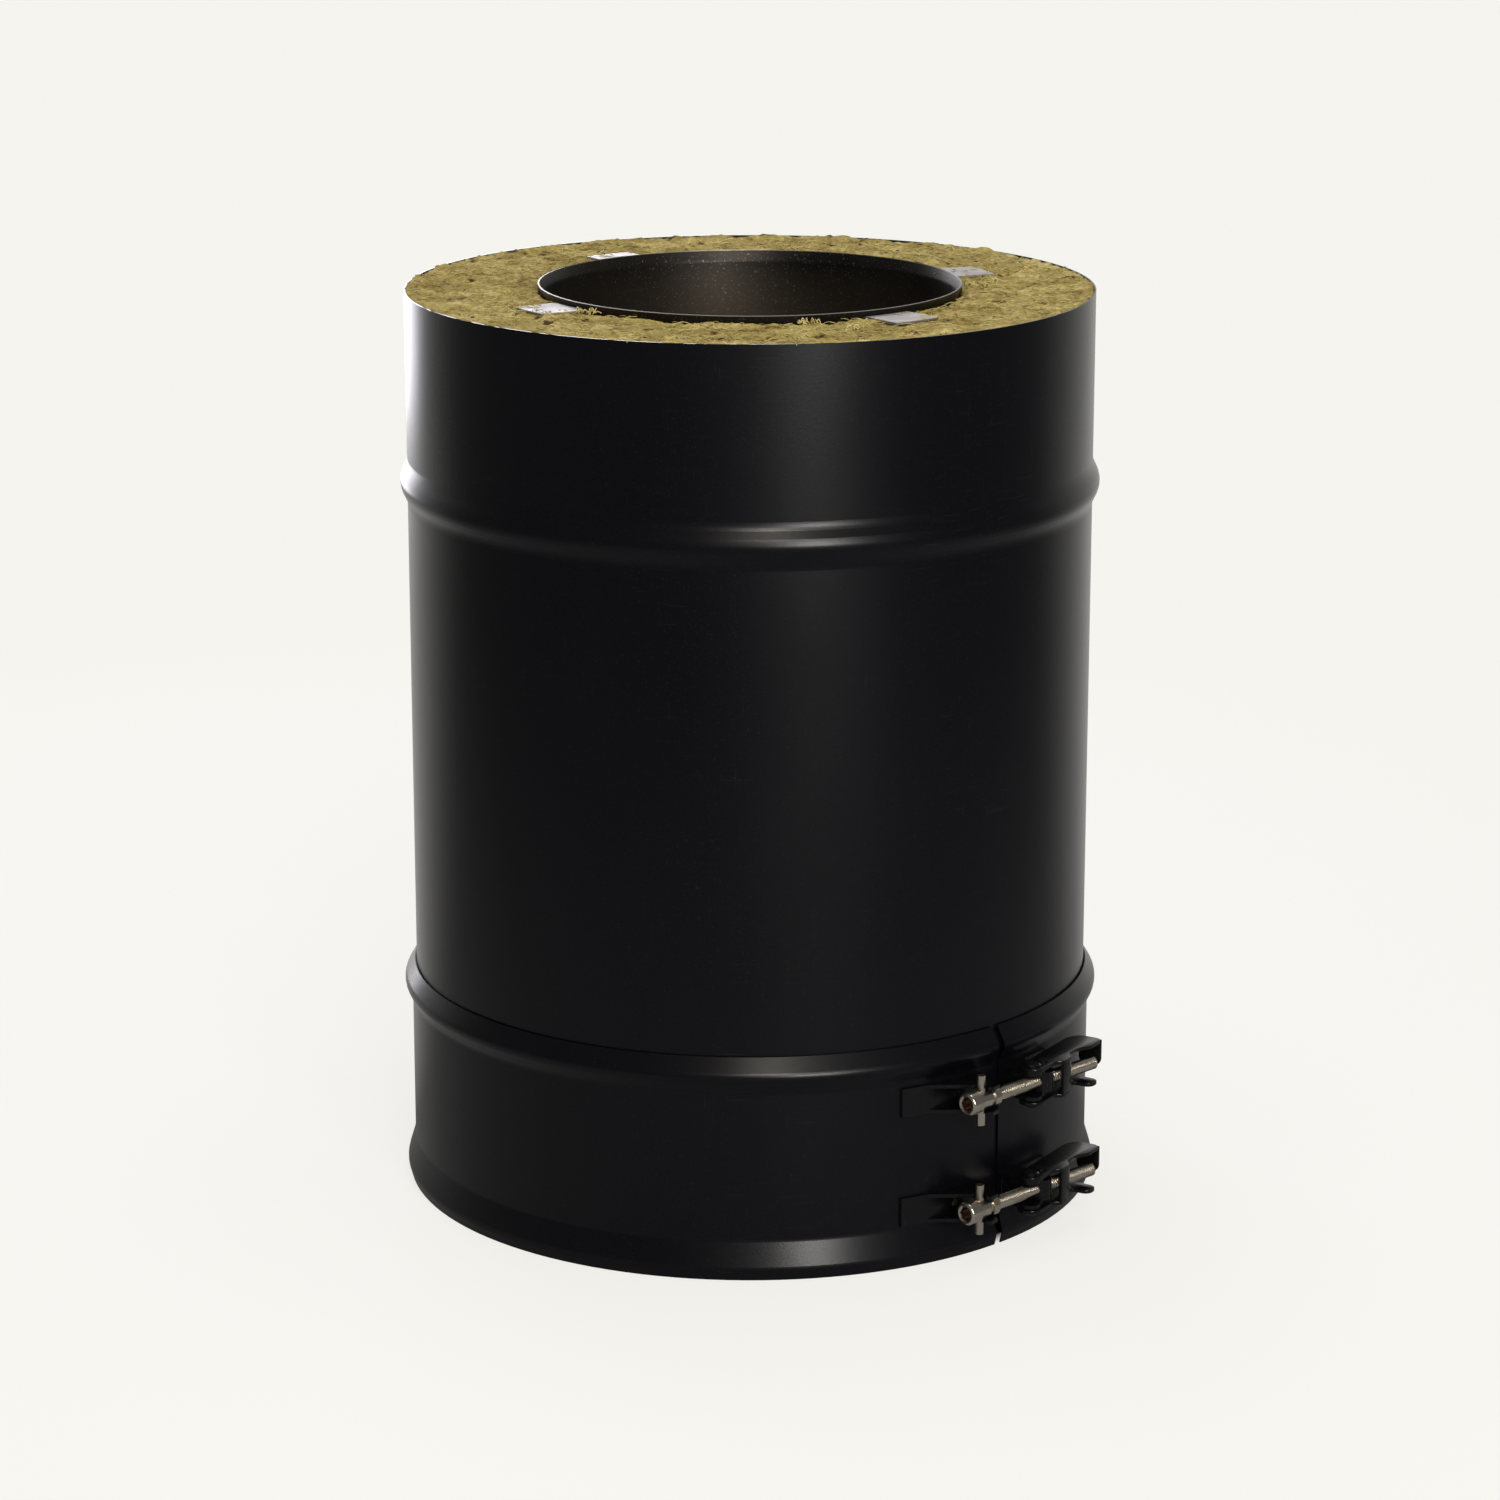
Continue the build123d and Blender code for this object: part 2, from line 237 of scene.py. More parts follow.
# Distances under which points count as one, or as level with each other
MERGED = 1e-6
LEVEL = 1e-9


def group(name, inputs, outputs):
    """Empty shader node group with the named sockets; returns it with its two end nodes."""
    tree = bpy.data.node_groups.new(name, "ShaderNodeTree")
    for label, value in inputs:
        socket = tree.interface.new_socket(label, in_out="INPUT", socket_type="NodeSocketFloat")
        socket.default_value = value
    for label, kind in outputs:
        tree.interface.new_socket(label, in_out="OUTPUT", socket_type=kind)
    return tree, tree.nodes.new("NodeGroupInput"), tree.nodes.new("NodeGroupOutput")


def node(tree, kind, links=(), **values):
    """New node with its properties and plain inputs set, and its inputs linked."""
    made = tree.nodes.new(kind)
    for key, value in values.items():
        if hasattr(made, key):
            setattr(made, key, value)
        else:
            made.inputs[key.replace("_", " ")].default_value = value
    for socket, source in links:
        tree.links.new(source, made.inputs[socket])
    return made


def noise_on(tree, scale, detail, stretch=(1.0, 1.0, 1.0)):
    """Noise on Object coordinates; returns its value socket."""
    place = node(tree, "ShaderNodeTexCoord")
    turned = node(tree, "ShaderNodeMapping", [("Vector", place.outputs["Object"])], Scale=stretch)
    links = [("Vector", turned.outputs["Vector"])]
    made = node(tree, "ShaderNodeTexNoise", links, Scale=scale, Detail=detail)
    return made.outputs["Fac"]


def spread(tree, source, low, high, to_low=0.0, to_high=1.0):
    """Clamped change of range."""
    made = node(tree, "ShaderNodeMapRange", [("Value", source)])
    made.inputs["From Min"].default_value = low
    made.inputs["From Max"].default_value = high
    made.inputs["To Min"].default_value = to_low
    made.inputs["To Max"].default_value = to_high
    return made.outputs["Result"]


def maths(tree, operation, first, second):
    """Two values, each a socket or a number, joined by a Math node."""
    made = node(tree, "ShaderNodeMath", operation=operation)
    for socket, source in zip(made.inputs, (first, second)):
        if isinstance(source, bpy.types.NodeSocket):
            tree.links.new(source, socket)
        else:
            socket.default_value = source
    return made.outputs["Value"]


def ramp(tree, source, stops):
    """Colour ramp of (position, colour) stops."""
    made = node(tree, "ShaderNodeValToRGB", [("Fac", source)])
    elements = made.color_ramp.elements
    while len(elements) < len(stops):
        elements.new(0.5)
    for element, (position, colour) in zip(elements, stops):
        element.position = position
        element.color = (*colour, 1.0)
    return made.outputs["Color"]


def blend_colour(tree, mask, first, second):
    """Colour mix; the second may be a socket or a plain colour."""
    made = node(tree, "ShaderNodeMix", data_type="RGBA")
    mask_socket, first_socket, second_socket = made.inputs[0], made.inputs[6], made.inputs[7]
    tree.links.new(mask, mask_socket)
    tree.links.new(first, first_socket)
    if isinstance(second, bpy.types.NodeSocket):
        tree.links.new(second, second_socket)
    else:
        second_socket.default_value = (*second, 1.0)
    return made.outputs[2]


def material(name, **constants):
    """New material; returns it with its node tree and its surface shader."""
    made = bpy.data.materials.new(name)
    made.use_nodes = True
    surface = made.node_tree.nodes["Principled BSDF"]
    for key, value in constants.items():
        surface.inputs[key.replace("_", " ")].default_value = value
    return made, made.node_tree, surface


def bump(tree, surface, height, strength, distance):
    """Relief on a surface from a height socket."""
    made = node(tree, "ShaderNodeBump", [("Height", height)], Strength=strength, Distance=distance)
    tree.links.new(made.outputs["Normal"], surface.inputs["Normal"])


def sprayed_grain_group():
    """Orange peel, settled dust and broad uneven patches of a sprayed or rolled metal face."""
    outputs = [("Peel", "NodeSocketFloat"), ("Dust", "NodeSocketFloat"), ("Patches", "NodeSocketFloat")]
    tree, start, end = group("sprayed grain", [("Dust Amount", 0.5)], outputs)
    peel = noise_on(tree, PEEL_SCALE, 3.0)
    dust = spread(tree, noise_on(tree, DUST_SCALE, 1.0), 0.64, 0.76)
    dust = maths(tree, "MULTIPLY", dust, start.outputs["Dust Amount"])
    patches = noise_on(tree, PATCH_SCALE, 4.0, (1.0, 1.0, 0.45))
    for label, source in (("Peel", peel), ("Dust", dust), ("Patches", patches)):
        tree.links.new(source, end.inputs[label])
    return tree


def scuff_group():
    """Thin scratches that run both ways over a face."""
    tree, start, end = group("scuffs", [("Amount", 0.5)], [("Scuffs", "NodeSocketFloat")])
    around = spread(tree, noise_on(tree, SCRATCH_AROUND_SCALE, 3.0, (1.0, 1.0, 30.0)), 0.66, 0.72)
    upright = spread(tree, noise_on(tree, SCRATCH_UPRIGHT_SCALE, 3.0, (22.0, 22.0, 1.0)), 0.67, 0.73)
    both = maths(tree, "MAXIMUM", around, upright)
    rare = spread(tree, noise_on(tree, SCRATCH_AREA_SCALE, 2.0), 0.5, 0.62)
    both = maths(tree, "MULTIPLY", both, rare)
    tree.links.new(maths(tree, "MULTIPLY", both, start.outputs["Amount"]), end.inputs["Scuffs"])
    return tree


def placed(tree, shared, **values):
    """A shared group in this material, with its own values."""
    made = node(tree, "ShaderNodeGroup", node_tree=shared)
    for key, value in values.items():
        made.inputs[key.replace("_", " ")].default_value = value
    return made.outputs


def black_paint(name, grain, scuffs, tones, roughness, shine, dust, scuffing):
    """Satin stove paint on steel: tones are its darkest and its palest patch."""
    made, tree, surface = material(name, Specular_IOR_Level=shine)
    marks = placed(tree, grain, Dust_Amount=dust)
    lines = placed(tree, scuffs, Amount=scuffing)["Scuffs"]
    colour = ramp(tree, marks["Patches"], [(0.3, tones[0]), (0.7, tones[1])])
    colour = blend_colour(tree, marks["Dust"], colour, PAINT_DUST)
    colour = blend_colour(tree, lines, colour, PAINT_SCRATCH)
    tree.links.new(colour, surface.inputs["Base Color"])
    rough = spread(tree, marks["Patches"], 0.3, 0.7, roughness - 0.03, roughness + 0.03)
    worn = maths(tree, "MULTIPLY", lines, 0.12)
    tree.links.new(maths(tree, "ADD", rough, worn), surface.inputs["Roughness"])
    bump(tree, surface, marks["Peel"], 0.1, PEEL_HEIGHT)
    return made


def liner_steel(grain, scuffs):
    """Thin stainless liner coloured by height as painted light: warm deep down, palest just below the flare
    as a painted glow, darkening to nearly black at the flared top, and a bright cut edge.
    """
    made, tree, surface = material("liner steel", Metallic=0.85)
    marks = placed(tree, grain, Dust_Amount=0.4)
    lines = placed(tree, scuffs, Amount=0.06)["Scuffs"]
    place = node(tree, "ShaderNodeTexCoord")
    height = node(tree, "ShaderNodeSeparateXYZ", [("Vector", place.outputs["Object"])]).outputs["Z"]
    # Painted glow: paler and warmer below the flare, darkening to nearly black at the flared top
    colour = ramp(tree, spread(tree, height, *LINER_GLOW_HEIGHTS), LINER_GLOW_TONES)
    patches = spread(tree, marks["Patches"], 0.35, 0.65, 0.0, 0.4)
    colour = blend_colour(tree, patches, colour, LINER_PATCH)
    colour = blend_colour(tree, maths(tree, "ADD", lines, marks["Dust"]), colour, LINER_MARK)
    colour = blend_colour(tree, spread(tree, height, *LINER_EDGE_HEIGHTS), colour, LINER_EDGE)
    tree.links.new(colour, surface.inputs["Base Color"])
    rolled = noise_on(tree, ROLLED_SCALE, 3.0, (1.0, 1.0, 12.0))
    tree.links.new(spread(tree, rolled, 0.3, 0.7, 0.38, 0.48), surface.inputs["Roughness"])
    bump(tree, surface, rolled, 0.12, METAL_RELIEF)
    return made


def bright_metal(name, grain, scuffs, tone, grime, roughness):
    """Plated steel, a little dull in patches."""
    made, tree, surface = material(name, Metallic=1.0)
    marks = placed(tree, grain, Dust_Amount=0.8)
    lines = placed(tree, scuffs, Amount=0.8)["Scuffs"]
    patches = spread(tree, noise_on(tree, TARNISH_SCALE, 3.0), 0.4, 0.7)
    dulled = tuple(channel * share for channel, share in zip(tone, DULLING))
    colour = ramp(tree, patches, [(0.0, tone), (1.0, dulled)])
    colour = blend_colour(tree, marks["Dust"], colour, grime)
    tree.links.new(colour, surface.inputs["Base Color"])
    rough = spread(tree, patches, 0.0, 1.0, roughness, roughness + 0.12)
    worn = maths(tree, "MULTIPLY", lines, 0.15)
    tree.links.new(maths(tree, "ADD", rough, worn), surface.inputs["Roughness"])
    bump(tree, surface, marks["Peel"], 0.06, METAL_RELIEF)
    return made


def wool_tone_group():
    """Olive mineral wool: yellow to brown clumps, with darker flecks of binder."""
    outputs = [("Tone", "NodeSocketColor"), ("Fluff", "NodeSocketFloat")]
    tree, start, end = group("wool tone", [("Fleck Amount", 1.0), ("Paleness", 0.0)], outputs)
    clumps = noise_on(tree, 95.0, 5.0)
    fine = noise_on(tree, 520.0, 4.0)
    coarse_share = maths(tree, "MULTIPLY", clumps, 0.55)
    fine_share = maths(tree, "MULTIPLY", fine, 0.45)
    both = maths(tree, "ADD", coarse_share, fine_share)
    both = maths(tree, "ADD", both, start.outputs["Paleness"])
    tone = ramp(tree, both, WOOL_TONES)
    flecks = spread(tree, noise_on(tree, 150.0, 4.0, (1.0, 1.0, 0.5)), 0.6, 0.68)
    flecks = maths(tree, "MULTIPLY", flecks, start.outputs["Fleck Amount"])
    tone = blend_colour(tree, flecks, tone, WOOL_FLECK)
    tree.links.new(tone, end.inputs["Tone"])
    tree.links.new(maths(tree, "ADD", fine, clumps), end.inputs["Fluff"])
    return tree


def mineral_wool(name, tones, flecks, paleness, relief):
    """Matt wool; paleness shifts its tones up or down."""
    made, tree, surface = material(name, Roughness=0.95, Specular_IOR_Level=0.12)
    wool = placed(tree, tones, Fleck_Amount=flecks, Paleness=paleness)
    tree.links.new(wool["Tone"], surface.inputs["Base Color"])
    bump(tree, surface, wool["Fluff"], relief, WOOL_RELIEF)
    return made


def piece(name, bm, finish, body, replaced):
    """Turns a bmesh into a piece of the object and closes the bmesh."""
    bmesh.ops.remove_doubles(bm, verts=bm.verts, dist=MERGED)
    bmesh.ops.recalc_face_normals(bm, faces=bm.faces)
    mesh = bpy.data.meshes.new(name)
    bm.to_mesh(mesh)
    bm.free()
    mesh.materials.append(finish)
    made = bpy.data.objects.new(name, mesh)
    bpy.context.scene.collection.objects.link(made)
    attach(made, body)
    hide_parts(*replaced)
    return made


def on_pipe(angle, radius, height):
    """Point at an angle from the front (-Y), counted towards +X."""
    return Vector((radius * math.sin(angle), -radius * math.cos(angle), height))


def wool_top(x, y, rim):
    """Height of the teased top of the wool."""
    point = Vector((x, y, 0.0))
    radius = point.length
    height = rim + WOOL_LUMP * noise.noise(point * LUMP_SCALE)
    height += WOOL_CLUMP * noise.noise(point * CLUMP_SCALE + Vector((4.0, 1.0, 0.0)))
    height += WOOL_FLUFF * noise.noise(point * FLUFF_SCALE + Vector((0.0, 7.0, 2.0)))
    angle = math.atan2(x, -y)
    inner = max(0.0, 1.0 - (radius - WOOL_INSIDE) / INNER_REACH)
    wave = Vector((math.sin(angle) * INNER_WAVES, math.cos(angle) * INNER_WAVES, 3.3))
    gap = 0.5 + noise.noise(wave)
    height -= inner * (INNER_DROP + INNER_DROP_VARIED * max(0.0, gap)) * MM
    height += RIM_RISE * max(0.0, 1.0 - (WOOL_OUTSIDE - radius) / RIM_REACH)
    return height


def under_plate(x, y, angles):
    """Whether a spacer's tongue lies over this place."""
    for angle in angles:
        along = x * math.sin(angle) - y * math.cos(angle)
        across = x * math.cos(angle) + y * math.sin(angle)
        beside = abs(across) < PLATE_WIDTH / 2 + PLATE_SIDE_MARGIN
        if beside and 0.0 < along < PLATE_REACH + PLATE_END_MARGIN:
            return True
    return False


def insulation_ring(finish, plate_angles):
    """Ring of wool with a teased top, pressed down under the spacers."""
    low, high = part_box("insulation")
    outside = high.x - WOOL_WALL_GAP
    bm = bmesh.new()
    corners = [(WOOL_INSIDE, low.z), (WOOL_INSIDE, high.z), (outside, high.z), (outside, low.z)]
    verts = [bm.verts.new((radius, 0.0, height)) for radius, height in corners]
    edges = [bm.edges.new((verts[i], verts[(i + 1) % 4])) for i in range(4)]
    bmesh.ops.subdivide_edges(bm, edges=[edges[1]], cuts=WOOL_RINGS)
    bmesh.ops.spin(
        bm, geom=bm.verts[:] + bm.edges[:], cent=(0, 0, 0), axis=(0, 0, 1), angle=math.tau,
        steps=WOOL_SECTORS, use_merge=True,
    )
    for vert in bm.verts:
        if vert.co.z < high.z - MM:
            continue
        height = wool_top(vert.co.x, vert.co.y, high.z)
        if under_plate(vert.co.x, vert.co.y, plate_angles):
            height = min(height, high.z - PLATE_SINK)
        vert.co.z = height
    made = piece("wool_ring", bm, finish, "root", ["insulation"])
    made.data.shade_smooth()


def strand(curve, start, length, rise, most_bend, chance):
    """One loose strand of wool as a spline of the curve, in a random direction."""
    heading = chance.uniform(0, math.tau)
    bend = chance.uniform(-most_bend, most_bend)
    spline = curve.splines.new("NURBS")
    spline.points.add(STRAND_STEPS - 1)
    place = start.copy()
    for step, point in enumerate(spline.points):
        part = step / (STRAND_STEPS - 1)
        lift = rise * math.sin(math.pi * min(1.0, part * 1.15))
        point.co = (place.x, place.y, place.z + lift, 1.0)
        heading += bend * chance.uniform(*STRAND_WAVER)
        place += Vector((math.cos(heading), math.sin(heading), 0.0)) * length / STRAND_STEPS
    spline.order_u = 3
    spline.use_endpoint_u = True


def strand_curve(name, finish, radius):
    """Empty curve object that holds strands of one thickness."""
    curve = bpy.data.curves.new(name, "CURVE")
    curve.dimensions = "3D"
    curve.bevel_depth = radius
    curve.bevel_resolution = 0
    curve.resolution_u = 2
    curve.materials.append(finish)
    made = bpy.data.objects.new(name, curve)
    bpy.context.scene.collection.objects.link(made)
    return made


def lying_start(chance, rim):
    """Random place on top of the wool for a strand to start."""
    angle = chance.uniform(-math.pi, math.pi)
    radius = chance.uniform(*STRAND_RADII) * MM
    start = on_pipe(angle, radius, 0.0)
    start.z = wool_top(start.x, start.y, rim) + STRAND_LIFT
    return start


def wool_strands(finish, pale, brown):
    """Fibres that lie over the wool, and the tufts that stand up from it."""
    chance = random.Random(WOOL_SEED)
    _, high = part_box("insulation")
    fibres = strand_curve("wool_fibres", finish, FIBRE_RADIUS)
    for _ in range(FIBRES):
        start = lying_start(chance, high.z)
        length = chance.uniform(*FIBRE_LENGTHS) * MM
        rise = chance.uniform(*FIBRE_RISES) * MM
        strand(fibres.data, start, length, rise, FIBRE_BEND, chance)
    dark = strand_curve("wool_binder_strands", brown, FIBRE_RADIUS)
    for _ in range(BINDER_STRANDS):
        start = lying_start(chance, high.z)
        length = chance.uniform(*BINDER_LENGTHS) * MM
        strand(dark.data, start, length, BINDER_RISE * MM, BINDER_BEND, chance)
    tufts = strand_curve("wool_tufts", pale, TUFT_THICKNESS)
    for middle, distance, number, reach in TUFTS:
        for _ in range(number):
            angle = middle + chance.uniform(-TUFT_SPREAD, TUFT_SPREAD)
            radius = distance + chance.uniform(*TUFT_RADII) * MM
            start = on_pipe(angle, radius, 0.0)
            start.z = high.z + TUFT_LIFT
            length = reach * chance.uniform(TUFT_SHORTEST, 1.0)
            rise = chance.uniform(*TUFT_RISES) * MM
            strand(tufts.data, start, length, rise, TUFT_BEND, chance)
    for made in (fibres, dark, tufts):
        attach(made, "root")


def latch_matrix(latch):
    """Latch frame: X along the screw, Y outwards from the band, Z down."""
    low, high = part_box(latch + "_tension_screw")
    across = Vector((math.cos(SPLIT_ANGLE), math.sin(SPLIT_ANGLE), 0.0))
    outwards = Vector((math.sin(SPLIT_ANGLE), -math.cos(SPLIT_ANGLE), 0.0))
    turned = Matrix((across, outwards, Vector((0.0, 0.0, -1.0)))).transposed().to_4x4()
    axis = outwards * (BAND_RADIUS + SCREW_OUT)
    axis.z = (low.z + high.z) / 2
    return Matrix.Translation(axis) @ turned


def hexagon(angle):
    """Distance from the centre of a hexagon of apothem 1 to its outline."""
    sector = math.radians(60.0)
    return 1.0 / math.cos((angle % sector) - sector / 2)


def loft(bm, rings, sides):
    """Closed body round X through rings of (along, radius, is hexagonal), the first one round."""
    along, radius, _ = rings[0]
    made = bmesh.ops.create_circle(bm, cap_ends=False, radius=radius, segments=sides)
    verts = made["verts"]
    bmesh.ops.rotate(bm, verts=verts, cent=(0, 0, 0), matrix=Matrix.Rotation(math.pi / 2, 3, "Y"))
    bmesh.ops.translate(bm, verts=verts, vec=(along, 0, 0))
    edges = list({edge for vert in verts for edge in vert.link_edges})
    bmesh.ops.contextual_create(bm, geom=edges)
    for along, radius, hexed in rings[1:]:
        grown = bmesh.ops.extrude_edge_only(bm, edges=edges)["geom"]
        edges = [item for item in grown if isinstance(item, bmesh.types.BMEdge)]
        for vert in (item for item in grown if isinstance(item, bmesh.types.BMVert)):
            angle = math.atan2(vert.co.z, vert.co.y)
            reach = radius * hexagon(angle) if hexed else radius
            vert.co = (along, reach * math.cos(angle), reach * math.sin(angle))
        edges = [edge for edge in edges if all(abs(vert.co.x - along) < LEVEL for vert in edge.verts)]
    bmesh.ops.contextual_create(bm, geom=edges)


def thread(bm, start, end):
    """Rolled thread: one ridge spun along the screw, cut flat at both ends."""
    root = SCREW_RADIUS - THREAD_DEPTH
    first = start - THREAD_PITCH
    crest_start, crest_end = THREAD_CREST
    ridge = ((0.0, root), (crest_start, SCREW_RADIUS), (crest_end, SCREW_RADIUS), (1.0, root))
    verts = [bm.verts.new((first + share * THREAD_PITCH, radius, 0.0)) for share, radius in ridge]
    edges = [bm.edges.new(pair) for pair in zip(verts, verts[1:])]
    turns = math.ceil((end - start) / THREAD_PITCH) + 2
    bmesh.ops.spin(
        bm, geom=verts + edges, cent=(0, 0, 0), axis=(1, 0, 0), dvec=(THREAD_PITCH / THREAD_STEPS, 0, 0),
        angle=math.tau * turns, steps=THREAD_STEPS * turns, use_merge=False,
    )
    bmesh.ops.remove_doubles(bm, verts=bm.verts, dist=MERGED)
    for place, way in ((start, -1.0), (end, 1.0)):
        geom = bm.verts[:] + bm.edges[:] + bm.faces[:]
        bmesh.ops.bisect_plane(
            bm, geom=geom, plane_co=(place, 0, 0), plane_no=(way, 0, 0), clear_outer=True
        )
    bmesh.ops.holes_fill(bm, edges=[edge for edge in bm.edges if edge.is_boundary])


def tension_screw(latch, finish, socket_finish):
    """Threaded screw with a rounded head and a hexagon socket in a dark brown finish."""
    head_start = SCREW_HEAD_END - SCREW_HEAD_LENGTH
    bm = bmesh.new()
    thread(bm, SCREW_HEAD_END, SCREW_END)
    rings = [(SCREW_HEAD_END, SCREW_HEAD_RADIUS, False)]
    corner = head_start + SCREW_RIM_ROUND
    for step in range(RIM_STEPS + 1):
        turn = step * math.pi / (2 * RIM_STEPS)
        radius = SCREW_HEAD_RADIUS - SCREW_RIM_ROUND * (1 - math.cos(turn))
        rings.append((corner - SCREW_RIM_ROUND * math.sin(turn), radius, False))
    mouth = head_start + SOCKET_MOUTH
    rings.append((head_start + SOCKET_MOUTH_STEP, SOCKET_APOTHEM * SOCKET_MOUTH_WIDENING, False))
    rings.append((mouth, SOCKET_APOTHEM, True))
    rings.append((head_start + SOCKET_DEPTH, SOCKET_APOTHEM, True))
    loft(bm, rings, HEAD_SIDES)
    socket_end = head_start + SOCKET_DEPTH_MARGIN * SOCKET_DEPTH
    for face in bm.faces:
        middle = face.calc_center_median()
        near_axis = math.hypot(middle.y, middle.z) < SOCKET_SIDE_MARGIN * SOCKET_APOTHEM
        face.material_index = 1 if near_axis and middle.x < socket_end else 0
    bmesh.ops.transform(bm, matrix=latch_matrix(latch), verts=bm.verts)
    name = latch + "_tension_screw"
    made = piece(latch + "_threaded_screw", bm, finish, latch + "_screw", [name])
    made.data.materials.append(socket_finish)
    made.data.shade_smooth()
    made.data.set_sharp_from_angle(angle=SCREW_SHARP)


def add_plate(bm, outline, matrix):
    """Adds a plate with rounded corners and broken edges, from (x, y, rounding) points."""
    part = bmesh.new()
    corners = [(part.verts.new((x * MM, y * MM, 0.0)), rounding) for x, y, rounding in outline]
    part.faces.new([vert for vert, rounding in corners])
    for vert, rounding in corners:
        if rounding:
            bmesh.ops.bevel(
                part, geom=[vert], offset=rounding * MM, segments=CORNER_STEPS, profile=0.5,
                affect="VERTICES", material=-1,
            )
    grown = bmesh.ops.extrude_face_region(part, geom=part.faces[:])["geom"]
    moved = [item for item in grown if isinstance(item, bmesh.types.BMVert)]
    bmesh.ops.translate(part, verts=moved, vec=(0, 0, LEVER_WALL))
    bmesh.ops.recalc_face_normals(part, faces=part.faces)
    sharp = [edge for edge in part.edges if edge.calc_face_angle(0.0) > BROKEN_EDGE]
    bmesh.ops.bevel(
        part, geom=sharp, offset=EDGE_BREAK, segments=2, profile=0.5, affect="EDGES", material=-1
    )
    bmesh.ops.transform(part, matrix=matrix, verts=part.verts)
    scrap = bpy.data.meshes.new("plate")
    part.to_mesh(scrap)
    part.free()
    bm.from_mesh(scrap)
    bpy.data.meshes.remove(scrap)


def lever(latch, finish):
    """Two arms outside the bracket, a bridge over the screw, and a finger plate past its end."""
    place = latch_matrix(latch) @ Matrix.Translation(LEVER_PIVOT) @ Matrix.Rotation(LEVER_TILT, 4, "Z")
    bm = bmesh.new()
    add_plate(bm, UPPER_ARM, place @ Matrix.Translation((0, 0, -ARM_INSIDE - LEVER_WALL)))
    add_plate(bm, LOWER_ARM, place @ Matrix.Translation((0, 0, ARM_INSIDE)))
    half = ARM_INSIDE / MM + BRIDGE_OVERLAP
    strap = (
        (BRIDGE_START, -half, 0.0), (BRIDGE_END, -half, 0.0),
        (BRIDGE_END, half, 0.0), (BRIDGE_START, half, 0.0),
    )
    standing = Matrix.Translation((0, BRIDGE_OUT * MM, 0)) @ Matrix.Rotation(math.pi / 2, 4, "X")
    add_plate(bm, strap, place @ standing)
    across = Matrix(((0, 0, 1), (1, 0, 0), (0, 1, 0))).to_4x4()
    add_plate(bm, FINGER_PLATE, place @ Matrix.Translation((FINGER_ALONG, 0, 0)) @ across)
    made = piece(latch + "_toggle_lever", bm, finish, latch + "_lever", [latch + "_lever"])
    made.data.shade_smooth()
    made.data.set_sharp_from_angle(angle=LEVER_SHARP)


def add_light(name, place, size, power, colour):
    """Soft box that lights the object and that the camera doesn't see."""
    light = bpy.data.lights.new(name, "AREA")
    light.shape = "RECTANGLE"
    light.size, light.size_y = size
    light.energy = power
    light.color = colour
    lamp = bpy.data.objects.new(name, light)
    lamp.location = place
    lamp.rotation_euler = (Vector(LAMP_AIM) - Vector(place)).to_track_quat("-Z", "Y").to_euler()
    lamp.visible_camera = False
    bpy.context.scene.collection.objects.link(lamp)


def glow_level(tree, heading):
    """Strength of the backdrop: full where the camera sees it, lower as light on matt faces, and
    in reflections full behind the object and dim towards the camera's side of the room."""
    paths = node(tree, "ShaderNodeLightPath").outputs
    along = node(tree, "ShaderNodeVectorMath", [(0, heading)], operation="NORMALIZE")
    depth = node(tree, "ShaderNodeSeparateXYZ", [("Vector", along.outputs["Vector"])]).outputs["Y"]
    dimming = (FRONT_LEVEL - SKY_LEVEL, 1.0 - SKY_LEVEL)
    mirrored = spread(tree, depth, REFLECTED_FRONT, REFLECTED_BACK, *dimming)
    mirrored = maths(tree, "MULTIPLY", mirrored, paths["Is Glossy Ray"])
    direct = maths(tree, "MAXIMUM", paths["Is Camera Ray"], paths["Is Transmission Ray"])
    direct = maths(tree, "MULTIPLY", direct, 1.0 - SKY_LEVEL)
    return maths(tree, "ADD", maths(tree, "ADD", mirrored, direct), SKY_LEVEL)


def world():
    """Even studio backdrop."""
    made = bpy.data.worlds.new("studio")
    bpy.context.scene.world = made
    made.use_nodes = True
    tree = made.node_tree
    background = tree.nodes["Background"]
    background.inputs["Color"].default_value = (*BACKDROP, 1.0)
    heading = node(tree, "ShaderNodeTexCoord").outputs["Generated"]
    tree.links.new(glow_level(tree, heading), background.inputs["Strength"])


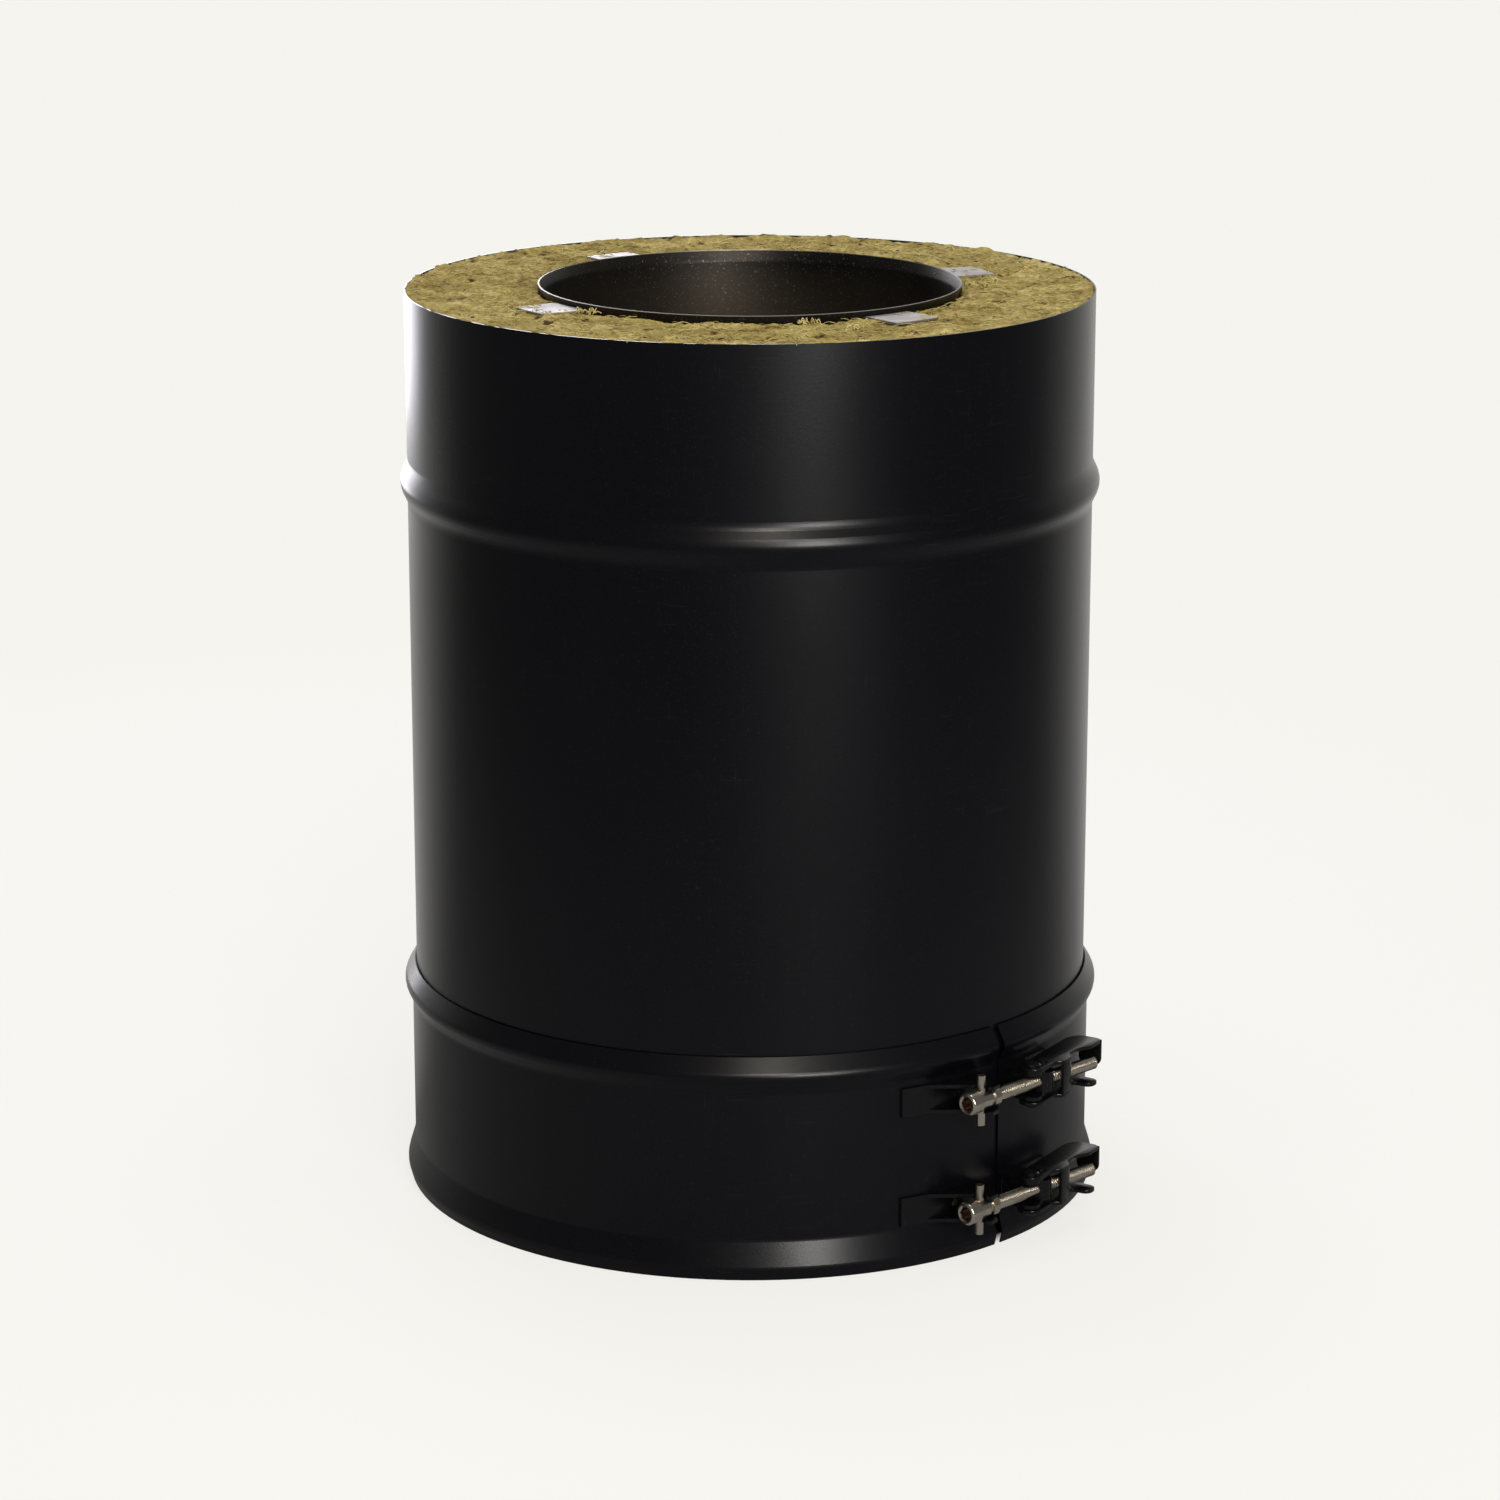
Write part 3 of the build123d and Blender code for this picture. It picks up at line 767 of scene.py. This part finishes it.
def floor():
    """Pale floor that keeps a soft shadow near the object, has a painted shadow under the pipe where its
    glow stops, and meets the backdrop further out.
    """
    bpy.ops.mesh.primitive_plane_add(size=FLOOR_SIZE)
    made = bpy.context.object
    made.name = "floor"
    finish = bpy.data.materials.new("pale floor")
    finish.use_nodes = True
    tree = finish.node_tree
    tree.nodes.clear()
    place = node(tree, "ShaderNodeTexCoord").outputs["Object"]
    far = node(tree, "ShaderNodeVectorMath", [(0, place)], operation="LENGTH")
    near = spread(tree, far.outputs["Value"], FLOOR_SHADE_START, FLOOR_SHADE_REACH, 1.0, 0.0)
    grey = ramp(tree, near, [(0.0, (0.0,) * 3), (1.0, (FLOOR_GREY,) * 3)])
    matt = node(tree, "ShaderNodeBsdfDiffuse", [("Color", grey)])
    unlit = maths(tree, "SUBTRACT", 1.0, maths(tree, "MULTIPLY", near, FLOOR_GREY * FLOOR_LIGHT))
    # Painted shadow: the floor's glow fades out under the pipe
    outside_painted_shadow = spread(tree, far.outputs["Value"], FLOOR_PAINTED_SHADOW_RADIUS - FLOOR_PAINTED_SHADOW_SOFT, FLOOR_PAINTED_SHADOW_RADIUS)
    level = maths(tree, "MULTIPLY", maths(tree, "MULTIPLY", unlit, outside_painted_shadow), glow_level(tree, place))
    glow = node(tree, "ShaderNodeEmission", [("Strength", level)], Color=(*BACKDROP, 1.0))
    both = node(tree, "ShaderNodeAddShader", [(0, matt.outputs["BSDF"]), (1, glow.outputs["Emission"])])
    node(tree, "ShaderNodeOutputMaterial", [("Surface", both.outputs["Shader"])])
    made.data.materials.append(finish)


def camera():
    data = bpy.data.cameras.new("camera")
    data.sensor_width = SENSOR_WIDTH
    data.lens = CAMERA_LENS
    data.clip_end = 30.0
    made = bpy.data.objects.new("camera", data)
    made.location = (0.0, -CAMERA_DISTANCE, CAMERA_HEIGHT)
    made.rotation_euler = (math.radians(90.0 - CAMERA_PITCH), 0.0, 0.0)
    bpy.context.scene.collection.objects.link(made)
    bpy.context.scene.camera = made


def finish_nodes(nodes, names, finish):
    """Gives the named CAD nodes one material."""
    for name in names:
        nodes[name].data.materials.clear()
        nodes[name].data.materials.append(finish)


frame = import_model()
nodes = frame["nodes"]
bpy.context.scene.view_settings.view_transform = "Standard"
camera()
world()
floor()
for lamp in LAMPS:
    add_light(*lamp)

grain = sprayed_grain_group()
scuffs = scuff_group()
tones = wool_tone_group()
casing = black_paint(
    "black stove paint", grain, scuffs, tones=((0.0009, 0.0009, 0.002), (0.0015, 0.0014, 0.0028)),
    roughness=0.29, shine=0.25, dust=0.25, scuffing=0.15,
)
latch_paint = black_paint(
    "black latch paint", grain, scuffs, tones=((0.0014, 0.0013, 0.0018), (0.0024, 0.0022, 0.0027)),
    roughness=0.24, shine=0.3, dust=0.4, scuffing=0.5,
)
plated = bright_metal(
    "bright plating", grain, scuffs, tone=(0.62, 0.57, 0.5), grime=(0.12, 0.09, 0.06), roughness=0.18,
)
# Dark brown finish on the faces inside the hexagon socket
socket = bright_metal(
    "dark socket", grain, scuffs, tone=(0.07, 0.035, 0.028), grime=(0.02, 0.012, 0.01), roughness=0.5,
)
sheet = bright_metal(
    "bright spacer sheet", grain, scuffs, tone=(0.4, 0.385, 0.385), grime=(0.3, 0.29, 0.29), roughness=0.52,
)

finish_nodes(nodes, PIPE_BLACK, casing)
finish_nodes(nodes, [latch + "_" + part for latch in LATCHES for part in LATCH_BLACK], latch_paint)
finish_nodes(nodes, ["inner_liner"], liner_steel(grain, scuffs))
finish_nodes(nodes, SPACERS, sheet)
finish_nodes(nodes, [latch + "_cross_pin" for latch in LATCHES], plated)

plate_angles = []
for name in SPACERS:
    low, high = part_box(name)
    middle = (low + high) / 2
    plate_angles.append(math.atan2(middle.x, -middle.y))
wool = mineral_wool("mineral wool", tones, flecks=1.0, paleness=0.0, relief=0.7)
loose = mineral_wool("loose wool strands", tones, flecks=0.2, paleness=0.09, relief=0.2)
pale = mineral_wool("pale wool strands", tones, flecks=0.1, paleness=0.12, relief=0.2)
brown = mineral_wool("brown wool strands", tones, flecks=0.6, paleness=-0.14, relief=0.2)
insulation_ring(wool, plate_angles)
wool_strands(loose, pale, brown)
for latch in LATCHES:
    tension_screw(latch, plated, socket)
    lever(latch, latch_paint)
